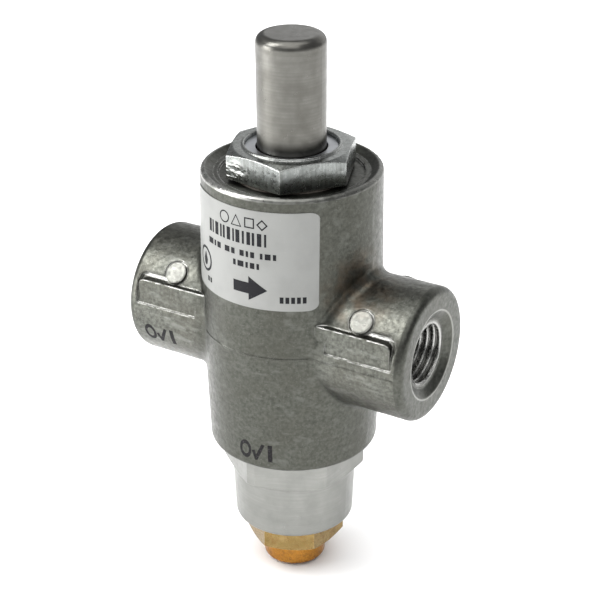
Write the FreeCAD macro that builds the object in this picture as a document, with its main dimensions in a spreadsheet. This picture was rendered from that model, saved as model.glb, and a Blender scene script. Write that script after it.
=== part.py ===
import FreeCAD, Part
import math
import os
import Sketcher

# A thermoelectric safety gas valve with a manual reset button.
# +Z points up along the stem, and +X runs from the inlet port to the outlet port.
# The origin is on the ports' axis, at the first thread of the inlet port.
# Heights are measured from the ports' axis, radii from the stem's axis.

DIMENSIONS = {
    # die-cast body
    "port_reach": 30.3,
    "mouth_depth": 1.25,
    "mouth_radius": 8.75,
    "boss_radius": 13.0,
    "boss_edge": 1.5,
    "thread_minor": 5.74,
    "thread_major": 6.38,
    "thread_pitch": 1.411,
    "thread_reach": 12.0,
    "port_depth": 14.0,
    "passage_radius": 4.2,
    "parting_radius": 17.46,
    "rim_radius": 17.12,
    "rim_height": 31.9,
    "recess_height": 30.4,
    "base_radius": 16.56,
    "base_height": -25.0,
    "web_half": 3.0,
    "orifice_radius": 4.5,
    "seat_lip": 0.6,
    "upper_bore": 9.3,
    "lower_bore": 10.5,
    "tap_radius": 11.0,
    "flat_distance": 12.4,
    "flat_low": 1.7,
    "flat_high": 6.8,
    "pin_radius": 2.2,
    "pin_reach": 20.5,
    # bonnet nut and reset button
    "nut_flats": 22.2,
    "nut_low": 31.0,
    "nut_high": 36.1,
    "nut_foot": 22.5,
    "nut_floor": 26.5,
    "nut_bore": 8.0,
    "washer_radius": 8.72,
    "washer_low": 35.0,
    "button_radius": 6.5,
    "button_low": 32.9,
    "button_high": 57.2,
    "button_bore": 5.0,
    "button_roof": 53.5,
    "stem_radius": 1.6,
    "stem_low": 0.05,
    # poppet and its stem
    "poppet_radius": 6.6,
    "facing_thick": 2.0,
    "poppet_thick": 1.4,
    "armature_radius": 7.4,
    "armature_low": -21.0,
    "armature_high": -19.4,
    "rod_radius": 1.2,
    # magnet unit and its housing
    "pole_height": -24.03,
    "cap_height": -15.75,
    "spigot_height": -16.6,
    "housing_bore": 9.6,
    "hex_flats": 25.4,
    "hex_round": 14.15,
    "hex_high": -25.6,
    "hex_low": -31.8,
    "neck_radius": 12.4,
    "cup_radius": 11.9,
    "cup_low": -43.5,
    "cup_floor": -41.0,
    "fitting_flats": 17.46,
    "fitting_hex_low": -48.9,
    "fitting_low": -54.3,
    "fitting_radius": 6.3,
    "fitting_bore": 3.95,
    # label
    "label_low": 10.1,
    "label_high": 29.4,
    "label_half": 13.4,
    "label_thick": 0.1,
    "label_corner": 1.3,
}

doc = FreeCAD.newDocument("gas_valve")


class Size:
    """A length in millimetres together with the expression that gives it."""

    def __init__(self, value, text):
        self.value = value
        self.text = text

    def __add__(self, other):
        other = as_size(other)
        return Size(self.value + other.value, f"({self.text} + {other.text})")

    def __sub__(self, other):
        other = as_size(other)
        return Size(self.value - other.value, f"({self.text} - {other.text})")

    def __mul__(self, factor):
        return Size(self.value * factor, f"({self.text} * {factor})")

    def __neg__(self):
        return Size(-self.value, f"(0 - {self.text})")


class Sizes:
    """The driving dimensions by name."""


def as_size(number):
    if isinstance(number, Size):
        return number
    return Size(float(number), f"({float(number)})")


def fill_sheet():
    sheet = doc.addObject("Spreadsheet::Sheet", "Sizes")
    sizes = Sizes()
    for row, (name, value) in enumerate(DIMENSIONS.items(), start=1):
        sheet.set(f"A{row}", name)
        sheet.set(f"B{row}", str(value))
        sheet.setAlias(f"B{row}", name)
        setattr(sizes, name, Size(value, f"Sizes.{name}"))
    doc.recompute()
    return sizes


s = fill_sheet()
axis_x = s.port_reach - s.mouth_depth
parts = {}


def new_body(name):
    """An empty body on the stem's axis, with heights counted from the ports' axis."""
    body = doc.addObject("PartDesign::Body", name)
    body.Label = name
    body.setExpression("Placement.Base.x", axis_x.text)
    parts[name] = body
    return body


def sketch_on(body, name, role="XZ_Plane"):
    sketch = body.newObject("Sketcher::SketchObject", name)
    plane = [item for item in body.Origin.OriginFeatures if item.Role == role][0]
    sketch.AttachmentSupport = (plane, [""])
    sketch.MapMode = "FlatFace"
    return sketch


def pin_point(sketch, geometry, end, x, y):
    """Fixes one point of a sketch at (x, y) and ties both numbers to the sheet."""
    for kind, size in (("DistanceX", x), ("DistanceY", y)):
        size = as_size(size)
        index = sketch.addConstraint(Sketcher.Constraint(kind, -1, 1, geometry, end, size.value))
        sketch.setExpression(f"Constraints[{index}]", size.text)


def outline(sketch, corners):
    """A closed outline through the corners, each one tied to the sheet."""
    spots = [FreeCAD.Vector(as_size(x).value, as_size(y).value, 0) for x, y in corners]
    first = sketch.GeometryCount
    count = len(spots)
    for i in range(count):
        sketch.addGeometry(Part.LineSegment(spots[i], spots[(i + 1) % count]), False)
    for i in range(count):
        following = first + (i + 1) % count
        sketch.addConstraint(Sketcher.Constraint("Coincident", first + i, 2, following, 1))
    for i, (x, y) in enumerate(corners):
        pin_point(sketch, first + i, 1, x, y)


def circle(sketch, x, y, radius):
    radius = as_size(radius)
    centre = FreeCAD.Vector(as_size(x).value, as_size(y).value, 0)
    up = FreeCAD.Vector(0, 0, 1)
    index = sketch.addGeometry(Part.Circle(centre, up, radius.value), False)
    rule = sketch.addConstraint(Sketcher.Constraint("Radius", index, radius.value))
    sketch.setExpression(f"Constraints[{rule}]", radius.text)
    pin_point(sketch, index, 3, x, y)


def hexagon(sketch, flats, turn):
    """A hexagon of the given width across flats, its first corner at the angle turn."""
    reach = flats * (1 / math.sqrt(3))
    corners = []
    for i in range(6):
        angle = math.radians(turn + 60 * i)
        corners.append((reach * round(math.cos(angle), 6), reach * round(math.sin(angle), 6)))
    outline(sketch, corners)


def revolve(body, name, corners, axis="V_Axis", cut=False):
    """Turns an outline of (radius, height) about the stem's axis, or about the ports' axis."""
    sketch = sketch_on(body, f"{name}_outline")
    outlines = corners if isinstance(corners[0], list) else [corners]
    for each in outlines:
        outline(sketch, each)
    kind = "PartDesign::Groove" if cut else "PartDesign::Revolution"
    feature = body.newObject(kind, name)
    feature.Profile = sketch
    feature.ReferenceAxis = (sketch, [axis])
    feature.Angle = 360
    doc.recompute()
    return feature


def extrude(body, name, sketch, length, offset=0, symmetric=False, cut=False):
    """Pads or pockets a sketch; offset moves its plane along its own normal."""
    offset = as_size(offset)
    if offset.value != 0:
        sketch.setExpression("AttachmentOffset.Base.z", offset.text)
    kind = "PartDesign::Pocket" if cut else "PartDesign::Pad"
    feature = body.newObject(kind, name)
    feature.Profile = sketch
    feature.setExpression("Length", as_size(length).text)
    feature.Midplane = symmetric
    doc.recompute()
    return feature


def round_edges(body, name, radius, wanted):
    """Rounds the edges of the body so far whose every point passes the test."""
    base = body.Tip
    names = []
    for i, edge in enumerate(base.Shape.Edges, start=1):
        points = edge.discretize(7)
        if all(wanted(point) for point in points):
            names.append(f"Edge{i}")
    fillet = body.newObject("PartDesign::Fillet", name)
    fillet.Base = (base, names)
    fillet.Radius = radius
    doc.recompute()
    return fillet


def round_circle(body, name, size, radius, height):
    """Rounds the circular edge of the given radius and height about the stem's axis."""
    radius = as_size(radius).value
    height = as_size(height).value

    def wanted(point):
        off_axis = abs(math.hypot(point.x, point.y) - radius) < 0.05
        return off_axis and abs(point.z - height) < 0.05

    return round_edges(body, name, size, wanted)


def helix(body, name, sketch, axis, pitch, height, cut=False):
    kind = "PartDesign::SubtractiveHelix" if cut else "PartDesign::AdditiveHelix"
    feature = body.newObject(kind, name)
    feature.Profile = sketch
    feature.ReferenceAxis = (sketch, [axis])
    feature.Mode = 0
    feature.setExpression("Pitch", as_size(pitch).text)
    feature.setExpression("Height", as_size(height).text)
    doc.recompute()
    return feature


def turned(name, corners):
    """A piece made by turning one outline of (radius, height) about the stem's axis."""
    body = new_body(name)
    revolve(body, "turning", corners)
    return body


def ring(name, inner, outer, low, high):
    return turned(name, [(inner, low), (outer, low), (outer, high), (inner, high)])


def add_cylinder(body, name, radius, height, place, cut=False):
    kind = "PartDesign::SubtractiveCylinder" if cut else "PartDesign::AdditiveCylinder"
    feature = body.newObject(kind, name)
    feature.setExpression("Radius", as_size(radius).text)
    feature.setExpression("Height", as_size(height).text)
    feature.Placement = place
    doc.recompute()
    return feature


def along(start, direction):
    """A placement that starts at a point and looks along a direction."""
    return FreeCAD.Placement(start, FreeCAD.Rotation(FreeCAD.Vector(0, 0, 1), direction))


def body_blank(body):
    """The cast barrel with its shallow top recess, and the two port bosses with soft roots."""
    revolve(body, "barrel", [
        (0, s.base_height),
        (s.base_radius, s.base_height),
        (s.parting_radius, 0),
        (s.rim_radius, s.rim_height),
        (s.rim_radius - 0.95, s.rim_height),
        (s.rim_radius - 2.4, s.rim_height - 1),
        (s.rim_radius - 3.4, s.rim_height - 1),
        (s.rim_radius - 3.4, s.recess_height),
        (0, s.recess_height),
    ])
    sketch = sketch_on(body, "boss_circle", "YZ_Plane")
    circle(sketch, 0, 0, s.boss_radius)
    extrude(body, "bosses", sketch, s.port_reach * 2, symmetric=True)

    boss = s.boss_radius.value
    barrel = s.parting_radius.value
    reach = s.port_reach.value

    def on_root(point):
        on_boss = abs(math.hypot(point.y, point.z) - boss) < 0.02
        return on_boss and abs(point.x) < barrel + 0.1

    def on_mouth_edge(point):
        on_boss = abs(math.hypot(point.y, point.z) - boss) < 0.02
        return on_boss and abs(abs(point.x) - reach) < 0.02

    round_edges(body, "boss_roots", 2.0, on_root)
    round_edges(body, "boss_edges", s.boss_edge.value, on_mouth_edge)
    round_circle(body, "rim_outside", 0.75, s.rim_radius, s.rim_height)
    round_circle(body, "rim_inside", 0.35, s.rim_radius - 0.95, s.rim_height)
    round_circle(body, "base_edge", 0.7, s.base_radius, s.base_height)


def boss_flats(body):
    """Spanner flats beside the upper half of each boss, framed by a shallow gutter."""
    window = sketch_on(body, "gutter_outline")
    panel = sketch_on(body, "flat_outline")
    for side in (1, -1):
        outline(window, [
            (side * 14.4, s.flat_low),
            ((s.port_reach - 2.3) * side, s.flat_low),
            ((s.port_reach - 2.0) * side, s.flat_low + 0.5),
            ((s.port_reach - 2.0) * side, s.flat_high - 0.7),
            ((s.port_reach - 2.4) * side, s.flat_high + 0.3),
            ((s.port_reach - 3.4) * side, s.flat_high + 0.8),
            (s.pin_reach * side, s.flat_high + 0.8),
            (s.pin_reach * side, s.flat_high - 0.05),
            (side * 14.4, s.flat_high - 0.05),
        ])
        outline(panel, [
            (side * 10.0, s.flat_low - 0.1),
            ((s.port_reach - 2.6) * side, s.flat_low - 0.1),
            ((s.port_reach - 2.6) * side, s.flat_high - 1.1),
            ((s.port_reach - 2.9) * side, s.flat_high - 0.35),
            ((s.port_reach - 3.7) * side, s.flat_high),
            (side * 10.0, s.flat_high),
        ])
    extrude(body, "gutters", window, s.boss_radius * 2.2, symmetric=True, cut=True)
    core = sketch_on(body, "core_circle", "YZ_Plane")
    circle(core, 0, 0, s.boss_radius - 0.45)
    extrude(body, "boss_core", core, (s.port_reach - 1.9) * 2, symmetric=True)
    extrude(body, "flats", panel, s.flat_distance * 2, symmetric=True)


def ejector_pads(body):
    """A round ejector pad above each flat, with a fine ring round it."""
    angle = math.radians(41.5)
    for side_x in (1, -1):
        for side_y in (1, -1):
            out = FreeCAD.Vector(0, side_y * math.cos(angle), math.sin(angle))
            middle = FreeCAD.Vector(side_x * s.pin_reach.value, 0, 0)
            floor = along(middle + out * (s.boss_radius.value - 0.55), out)
            ring_name = f"pad_ring_{side_x + 1}_{side_y + 1}"
            pad_name = f"pad_{side_x + 1}_{side_y + 1}"
            add_cylinder(body, ring_name, s.pin_radius + 0.32, 2.0, floor, cut=True)
            add_cylinder(body, pad_name, s.pin_radius, 0.8, floor)


def parting_flash(body):
    """The fine line that the two die halves leave at the height of the ports' axis."""
    sketch = sketch_on(body, "barrel_flash_outline", "XY_Plane")
    circle(sketch, 0, 0, s.parting_radius + 0.08)
    extrude(body, "barrel_flash", sketch, 0.24, symmetric=True)
    sketch = sketch_on(body, "boss_flash_outline", "XY_Plane")
    reach = s.port_reach - 1.7
    width = s.boss_radius + 0.08
    outline(sketch, [(-reach, -width), (reach, -width), (reach, width), (-reach, width)])
    extrude(body, "boss_flash", sketch, 0.24, symmetric=True)


def body_bores(body):
    """The chambers above and below the web, the orifice, the ports and their passages."""
    revolve(body, "chambers", [
        [
            (0, s.web_half),
            (s.upper_bore, s.web_half),
            (s.upper_bore, s.recess_height + 5),
            (0, s.recess_height + 5),
        ],
        [
            (0, s.base_height - 5),
            (s.tap_radius, s.base_height - 5),
            (s.tap_radius, s.cap_height + 0.2),
            (s.lower_bore, s.cap_height + 0.7),
            (s.lower_bore, -s.web_half),
            (s.orifice_radius + 0.8, -s.web_half),
            (s.orifice_radius + 0.8, -s.web_half - s.seat_lip),
            (0, -s.web_half - s.seat_lip),
        ],
    ], cut=True)
    below = along(FreeCAD.Vector(0, 0, -2 * s.web_half.value), FreeCAD.Vector(0, 0, 1))
    add_cylinder(body, "orifice", s.orifice_radius, s.web_half * 4, below, cut=True)
    mouths = []
    for side in (1, -1):
        face = (s.port_reach + 1) * side
        mouths.append([
            (face, 0),
            (face, s.mouth_radius + 1.4),
            ((s.port_reach - s.mouth_depth) * side, s.thread_major + 0.4),
            ((s.port_reach - s.mouth_depth) * side, s.thread_minor),
            ((s.port_reach - s.port_depth) * side, s.thread_minor),
            ((s.port_reach - s.port_depth - 1.5) * side, 0),
        ])
    revolve(body, "ports", mouths, axis="H_Axis", cut=True)
    for side in (1, -1):
        start = FreeCAD.Vector(side * 17.5, 0, 0)
        towards = FreeCAD.Vector(-side, 0, side)
        add_cylinder(body, f"passage_{side + 1}", s.passage_radius, 13.0, along(start, towards), cut=True)


def port_threads(body):
    """A right-hand taper-pipe thread in each port, cut in one and patterned to the other."""
    sketch = sketch_on(body, "thread_tooth")
    start = -s.port_reach + 0.45
    half = (s.thread_major - s.thread_minor) * math.tan(math.radians(30))
    outline(sketch, [
        (start - half, s.thread_minor - 0.02),
        (start, s.thread_major),
        (start + half, s.thread_minor - 0.02),
    ])
    thread = helix(body, "port_thread", sketch, "H_Axis", s.thread_pitch, s.thread_reach, cut=True)
    pattern = body.newObject("PartDesign::PolarPattern", "both_threads")
    pattern.Originals = [thread]
    pattern.Axis = ([item for item in body.Origin.OriginFeatures if item.Role == "Z_Axis"][0], [""])
    pattern.Angle = 360
    pattern.Occurrences = 2
    body.Tip = pattern
    doc.recompute()


def valve_body():
    body = new_body("valve_body")
    body_blank(body)
    boss_flats(body)
    ejector_pads(body)
    parting_flash(body)
    body_bores(body)
    port_threads(body)


def bonnet_nut():
    """The hexagon gland that screws into the top of the body and holds the button's guide washer."""
    body = new_body("bonnet_nut")
    sketch = sketch_on(body, "hexagon", "XY_Plane")
    hexagon(sketch, s.nut_flats, -8.5)
    extrude(body, "head", sketch, s.nut_high - s.nut_low, offset=s.nut_low)
    lip = s.washer_radius + 0.06
    revolve(body, "shank_and_lip", [
        (s.stem_radius + 0.05, s.nut_foot),
        (s.upper_bore - 0.05, s.nut_foot),
        (s.upper_bore - 0.05, s.nut_low + 0.1),
        (lip + 0.55, s.nut_low + 0.1),
        (lip + 0.55, s.nut_high + 0.15),
        (lip + 0.4, s.nut_high + 0.35),
        (lip + 0.12, s.nut_high + 0.35),
        (lip, s.nut_high + 0.2),
        (lip, s.washer_low),
        (s.stem_radius + 0.05, s.washer_low),
    ])
    corner = s.nut_flats * 0.65
    revolve(body, "hollow", [
        [
            (0, s.nut_foot - 1),
            (s.stem_radius + 0.05, s.nut_foot - 1),
            (s.stem_radius + 0.05, s.nut_foot + 1.1),
            (s.stem_radius + 1.4, s.nut_foot + 1.1),
            (s.stem_radius + 1.4, s.nut_foot + 2.8),
            (s.stem_radius + 0.05, s.nut_foot + 2.8),
            (s.stem_radius + 0.05, s.nut_floor),
            (s.nut_bore, s.nut_floor),
            (s.nut_bore, s.washer_low),
            (lip, s.washer_low),
            (lip, s.nut_high + 2),
            (0, s.nut_high + 2),
        ],
        [
            (s.nut_flats * 0.5 - 0.1, s.nut_high),
            (corner, s.nut_high - 1.2),
            (corner, s.nut_high + 1),
            (s.nut_flats * 0.5 - 0.1, s.nut_high + 1),
        ],
    ], cut=True)


def reset_button():
    """The turned cap that is pressed; its return spring and the stem's head are inside it."""
    body = turned("reset_button", [
        (s.button_bore, s.button_low),
        (s.button_radius - 0.35, s.button_low),
        (s.button_radius - 0.05, s.button_low + 0.3),
        (s.button_radius, s.button_high),
        (0, s.button_high),
        (0, s.button_roof),
        (s.stem_radius, s.button_roof),
        (s.stem_radius, s.button_roof - 6.5),
        (s.stem_radius + 0.9, s.button_roof - 6.5),
        (s.stem_radius + 0.9, s.button_roof),
        (s.button_bore, s.button_roof),
    ])
    round_circle(body, "crown", 1.7, s.button_radius, s.button_high)


def spring(name, mean_radius, wire_radius, low, high, turns):
    """A coil spring of round wire, with one flat coil at each end."""
    body = new_body(name)
    sketch = sketch_on(body, "wire")
    start = as_size(low) + wire_radius
    rise = as_size(high) - low - 2 * wire_radius
    circle(sketch, mean_radius, start, wire_radius)
    helix(body, "coils", sketch, "V_Axis", rise * (1 / turns), rise)


def stem_parts():
    """The reset stem with its seal and the clip that stops it leaving the bonnet."""
    groove = s.nut_foot - 1.3
    turned("reset_stem", [
        (0, s.stem_low),
        (s.stem_radius - 0.4, s.stem_low),
        (s.stem_radius, s.stem_low + 0.4),
        (s.stem_radius, groove),
        (s.stem_radius - 0.5, groove),
        (s.stem_radius - 0.5, groove + 0.7),
        (s.stem_radius, groove + 0.7),
        (s.stem_radius, s.button_roof - 0.05),
        (0, s.button_roof - 0.05),
    ])
    body = new_body("stem_clip")
    sketch = sketch_on(body, "clip_outline", "XY_Plane")
    circle(sketch, 0, 0, s.stem_radius + 1.5)
    circle(sketch, 0, 0, s.stem_radius - 0.48)
    extrude(body, "clip", sketch, 0.6, offset=groove + 0.05)
    gap = sketch_on(body, "gap_outline", "XY_Plane")
    outline(gap, [(0, -0.9), (s.stem_radius + 3, -0.9), (s.stem_radius + 3, 0.9), (0, 0.9)])
    extrude(body, "gap", gap, 1.2, offset=groove + 0.35, symmetric=True, cut=True)

    body = new_body("stem_o_ring")
    sketch = sketch_on(body, "cord")
    circle(sketch, s.stem_radius + 0.72, s.nut_foot + 1.95, 0.66)
    feature = body.newObject("PartDesign::Revolution", "seal")
    feature.Profile = sketch
    feature.ReferenceAxis = (sketch, ["V_Axis"])
    feature.Angle = 360
    doc.recompute()


def top_washers():
    """The washer that guides the button and the gasket under the nut's head."""
    ring("guide_washer", s.button_radius + 0.25, s.washer_radius, s.washer_low + 0.02, s.washer_low + 0.72)
    edge = s.nut_flats * 0.5 - 0.2
    ring("bonnet_gasket", s.upper_bore + 0.05, edge, s.recess_height + 0.01, s.nut_low - 0.01)


def poppet_parts():
    """The valve disc, its rubber facing, and the rod that joins them to the armature."""
    face = -s.web_half - s.seat_lip - 0.02
    back = face - s.facing_thick
    bore = s.rod_radius + 0.01
    turned("poppet_facing", [
        (bore, back),
        (s.poppet_radius - 0.3, back),
        (s.poppet_radius - 0.3, face - 0.3),
        (s.poppet_radius - 0.6, face),
        (bore, face),
    ])
    foot = back - s.poppet_thick
    turned("poppet_disc", [
        (bore, foot - 1.2),
        (s.rod_radius + 1.2, foot - 1.2),
        (s.rod_radius + 1.2, foot),
        (s.poppet_radius, foot),
        (s.poppet_radius, back + 0.9),
        (s.poppet_radius - 0.28, back + 0.9),
        (s.poppet_radius - 0.28, back - 0.02),
        (bore, back - 0.02),
    ])
    turned("armature_rod", [
        (0, s.armature_low + 0.3),
        (s.rod_radius, s.armature_low + 0.3),
        (s.rod_radius, face + 0.02),
        (s.rod_radius + 0.7, face + 0.02),
        (s.rod_radius + 0.4, face + 0.6),
        (0, face + 0.6),
    ])
    turned("armature", [
        (bore, s.armature_low),
        (s.armature_radius, s.armature_low),
        (s.armature_radius, s.armature_high - 0.3),
        (s.armature_radius - 0.3, s.armature_high),
        (bore, s.armature_high),
    ])
    spring("poppet_spring", 4.6, 0.4, s.cap_height + 0.02, foot - 0.02, 5)


def magnet_unit():
    """The electromagnet that holds the armature down while the thermocouple is hot."""
    base_low = s.cup_floor + 2.1
    base_high = base_low + 2.0
    body = new_body("magnet_base")
    sketch = sketch_on(body, "base_outline", "XY_Plane")
    circle(sketch, 0, 0, s.housing_bore - 0.05)
    circle(sketch, -4.2, 3.4, 1.1)
    extrude(body, "plate", sketch, base_high - base_low, offset=base_low)

    body = new_body("magnet_core")
    sketch = sketch_on(body, "core_outline")
    shoulder = base_high + 3.0
    outline(sketch, [
        (-5.9, base_high + 0.01),
        (5.9, base_high + 0.01),
        (5.9, s.pole_height),
        (2.5, s.pole_height),
        (2.5, shoulder),
        (-2.5, shoulder),
        (-2.5, s.pole_height),
        (-5.9, s.pole_height),
    ])
    extrude(body, "core", sketch, 4.4, symmetric=True)

    body = new_body("magnet_coil")
    sketch = sketch_on(body, "wire")
    circle(sketch, 3.5, shoulder + 0.7, 0.5)
    helix(body, "turns", sketch, "V_Axis", 1.12, 1.12 * 7)
    body.setExpression("Placement.Base.x", (axis_x - 4.2).text)

    ring("magnet_cap", s.rod_radius + 0.1, s.lower_bore - 0.1, s.spigot_height + 0.02, s.cap_height)
    cap = parts["magnet_cap"]
    revolve(cap, "spigot", [
        (s.rod_radius + 0.1, s.spigot_height - 0.9),
        (s.housing_bore - 0.04, s.spigot_height - 0.9),
        (s.housing_bore - 0.04, s.spigot_height + 0.3),
        (s.rod_radius + 0.1, s.spigot_height + 0.3),
    ])


def housing():
    """The aluminium power-unit cup with its screw spigot and hexagon."""
    body = new_body("magnet_housing")
    sketch = sketch_on(body, "hexagon", "XY_Plane")
    hexagon(sketch, s.hex_flats, -36)
    extrude(body, "flange", sketch, s.hex_high - s.hex_low, offset=s.hex_low)
    revolve(body, "corner_turning", [
        [
            (s.hex_round, s.hex_high + 1),
            (s.hex_round + 4, s.hex_high + 1),
            (s.hex_round + 4, s.hex_low - 1),
            (s.hex_round - 1.5, s.hex_low),
            (s.hex_round, s.hex_low + 0.5),
        ],
    ], cut=True)
    revolve(body, "cup", [
        (0, s.cup_low),
        (s.cup_radius, s.cup_low),
        (s.neck_radius, s.hex_low - 0.8),
        (s.hex_flats * 0.5 - 0.1, s.hex_low + 0.1),
        (s.hex_flats * 0.5 - 0.1, s.hex_high),
        (s.tap_radius - 0.05, s.hex_high),
        (s.tap_radius - 0.05, s.spigot_height),
        (0, s.spigot_height),
    ])
    round_circle(body, "cup_edge", 0.8, s.cup_radius, s.cup_low)
    revolve(body, "hollow", [
        (0, s.cup_low - 1),
        (5.05, s.cup_low - 1),
        (5.05, s.cup_floor),
        (s.housing_bore - 0.9, s.cup_floor),
        (s.housing_bore - 0.9, s.cup_floor + 2.09),
        (s.housing_bore, s.cup_floor + 2.09),
        (s.housing_bore, s.spigot_height + 1),
        (0, s.spigot_height + 1),
    ], cut=True)
    edge = s.hex_flats * 0.5 - 0.2
    ring("housing_gasket", s.tap_radius + 0.02, edge, s.hex_high + 0.01, s.base_height - 0.01)


def fitting():
    """The brass thermocouple connection below the cup, with its insulated contact."""
    body = new_body("thermocouple_fitting")
    sketch = sketch_on(body, "hexagon", "XY_Plane")
    hexagon(sketch, s.fitting_flats, -36)
    hex_high = s.cup_low - 0.02
    extrude(body, "nut", sketch, hex_high - s.fitting_hex_low, offset=s.fitting_hex_low)
    half_flats = s.fitting_flats * 0.5
    revolve(body, "corner_turning", [
        (half_flats - 0.1, s.fitting_hex_low - 1),
        (half_flats - 0.1, s.fitting_hex_low),
        (s.fitting_flats * 0.6, s.fitting_hex_low + 0.9),
        (s.fitting_flats * 0.6, s.fitting_hex_low - 1),
    ], cut=True)
    revolve(body, "spigots", [
        (0, s.fitting_low),
        (s.fitting_radius, s.fitting_low),
        (s.fitting_radius, s.fitting_hex_low + 0.2),
        (half_flats - 0.5, s.fitting_hex_low + 0.2),
        (half_flats - 0.5, hex_high),
        (5.0, hex_high),
        (5.0, s.cup_floor + 0.4),
        (0, s.cup_floor + 0.4),
    ])
    round_circle(body, "spigot_edge", 0.8, s.fitting_radius, s.fitting_low)
    bore_top = s.fitting_low + 8.8
    relief = s.fitting_low + 6.6
    revolve(body, "bore", [
        (0, s.fitting_low - 1),
        (s.fitting_bore + 1.5, s.fitting_low - 1),
        (s.fitting_bore, s.fitting_low + 0.5),
        (s.fitting_bore, relief),
        (s.fitting_bore + 0.35, relief),
        (s.fitting_bore + 0.35, bore_top),
        (2.6, bore_top),
        (2.6, s.cup_floor + 1),
        (0, s.cup_floor + 1),
    ], cut=True)
    turned("contact_insulator", [
        (0.85, bore_top - 0.9),
        (s.fitting_bore - 0.2, bore_top - 0.9),
        (s.fitting_bore - 0.2, bore_top - 0.02),
        (2.55, bore_top - 0.02),
        (2.55, s.cup_floor),
        (0.85, s.cup_floor),
    ])
    turned("terminal_contact", [
        (0, bore_top - 2.0),
        (1.4, bore_top - 2.0),
        (1.9, bore_top - 1.6),
        (1.9, bore_top - 0.92),
        (0.8, bore_top - 0.92),
        (0.8, bore_top + 1),
        (0, bore_top + 1),
    ])
    lead(bore_top + 1.02, s.cup_floor + 6.6)


def lead(start, finish):
    """The wire from the contact, through the magnet's base, up to the lowest turn of the coil."""
    body = new_body("coil_lead")
    route = sketch_on(body, "route")
    rise = s.cup_floor + 1.2
    bend = 0.8
    reach = 5.4
    turns = [
        (0, start),
        (0, rise - bend),
        (bend, rise),
        (reach - bend, rise),
        (reach, rise + bend),
        (reach, finish),
    ]
    spots = [FreeCAD.Vector(as_size(x).value, as_size(y).value, 0) for x, y in turns]
    count = len(turns) - 1
    for i in range(count):
        route.addGeometry(Part.LineSegment(spots[i], spots[i + 1]), False)
        pin_point(route, i, 1, *turns[i])
        pin_point(route, i, 2, *turns[i + 1])
    section = sketch_on(body, "section", "XY_Plane")
    circle(section, 0, 0, 0.55)
    section.setExpression("AttachmentOffset.Base.z", start.text)
    pipe = body.newObject("PartDesign::AdditivePipe", "wire")
    pipe.Profile = section
    pipe.Spine = (route, [f"Edge{i + 1}" for i in range(count)])
    pipe.Transition = "Round corner"
    doc.recompute()
    body.setExpression("Placement.Rotation.Angle", "141")


def label():
    """The thin wrapped label, cut from a conical shell that follows the barrel's draft."""
    slope = (s.parting_radius.value - s.rim_radius.value) / s.rim_height.value
    low = s.label_low.value - 2
    high = s.label_high.value + 2

    def cone(name, gap):
        shape = doc.addObject("Part::Cone", name)
        shape.setExpression("Radius1", (s.parting_radius + (gap - slope * low)).text)
        shape.setExpression("Radius2", (s.parting_radius + (gap - slope * high)).text)
        shape.setExpression("Height", as_size(high - low).text)
        shape.Placement.Base = FreeCAD.Vector(0, 0, low)
        return shape

    shell = doc.addObject("Part::Cut", "label_shell")
    gap = 0.05
    shell.Base = cone("label_outside", gap + s.label_thick.value)
    shell.Tool = cone("label_inside", gap)

    stamp = doc.addObject("PartDesign::Body", "label_stamp")
    sketch = sketch_on(stamp, "label_outline")
    corner = s.label_corner
    middles = [
        (corner - s.label_half, s.label_low + corner, 180),
        (s.label_half - corner, s.label_low + corner, 270),
        (s.label_half - corner, s.label_high - corner, 0),
        (corner - s.label_half, s.label_high - corner, 90),
    ]
    edge = []
    for across, up, start in middles:
        for step in range(0, 91, 18):
            turn = math.radians(start + step)
            edge.append((across + corner * math.cos(turn), up + corner * math.sin(turn)))
    outline(sketch, edge)
    extrude(stamp, "stamp", sketch, 30)
    stamp.Placement.Rotation = FreeCAD.Rotation(FreeCAD.Vector(0, 0, 1), -3.0)

    piece = doc.addObject("Part::Common", "label")
    piece.Label = "label"
    piece.Base = shell
    piece.Tool = stamp
    piece.setExpression("Placement.Base.x", axis_x.text)
    doc.recompute()
    parts["label"] = piece


def build():
    valve_body()
    bonnet_nut()
    reset_button()
    spring("button_spring", 4.05, 0.42, s.nut_floor + 0.02, s.button_roof - 0.02, 11)
    stem_parts()
    top_washers()
    poppet_parts()
    magnet_unit()
    housing()
    fitting()
    label()


def write_parts():
    """Writes each piece in place as a STEP file, once every object is known to be sound."""
    doc.recompute()
    broken = [item.Name for item in doc.Objects if "Invalid" in item.State or "Error" in item.State]
    for name, item in parts.items():
        if item.Shape.isNull() or not item.Shape.isValid() or item.Shape.Volume <= 0:
            broken.append(name)
    if broken:
        raise RuntimeError(f"unsound objects: {broken}")
    os.makedirs("parts", exist_ok=True)
    for name, item in parts.items():
        item.Shape.exportStep(f"parts/{name}.step")
        box = item.Shape.BoundBox
        print(f"{name}: {item.Shape.Volume:.2f} mm3, z {box.ZMin:.2f} to {box.ZMax:.2f}")


build()
write_parts()
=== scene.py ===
import math

import bmesh
import bpy
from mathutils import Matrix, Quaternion, Vector


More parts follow.
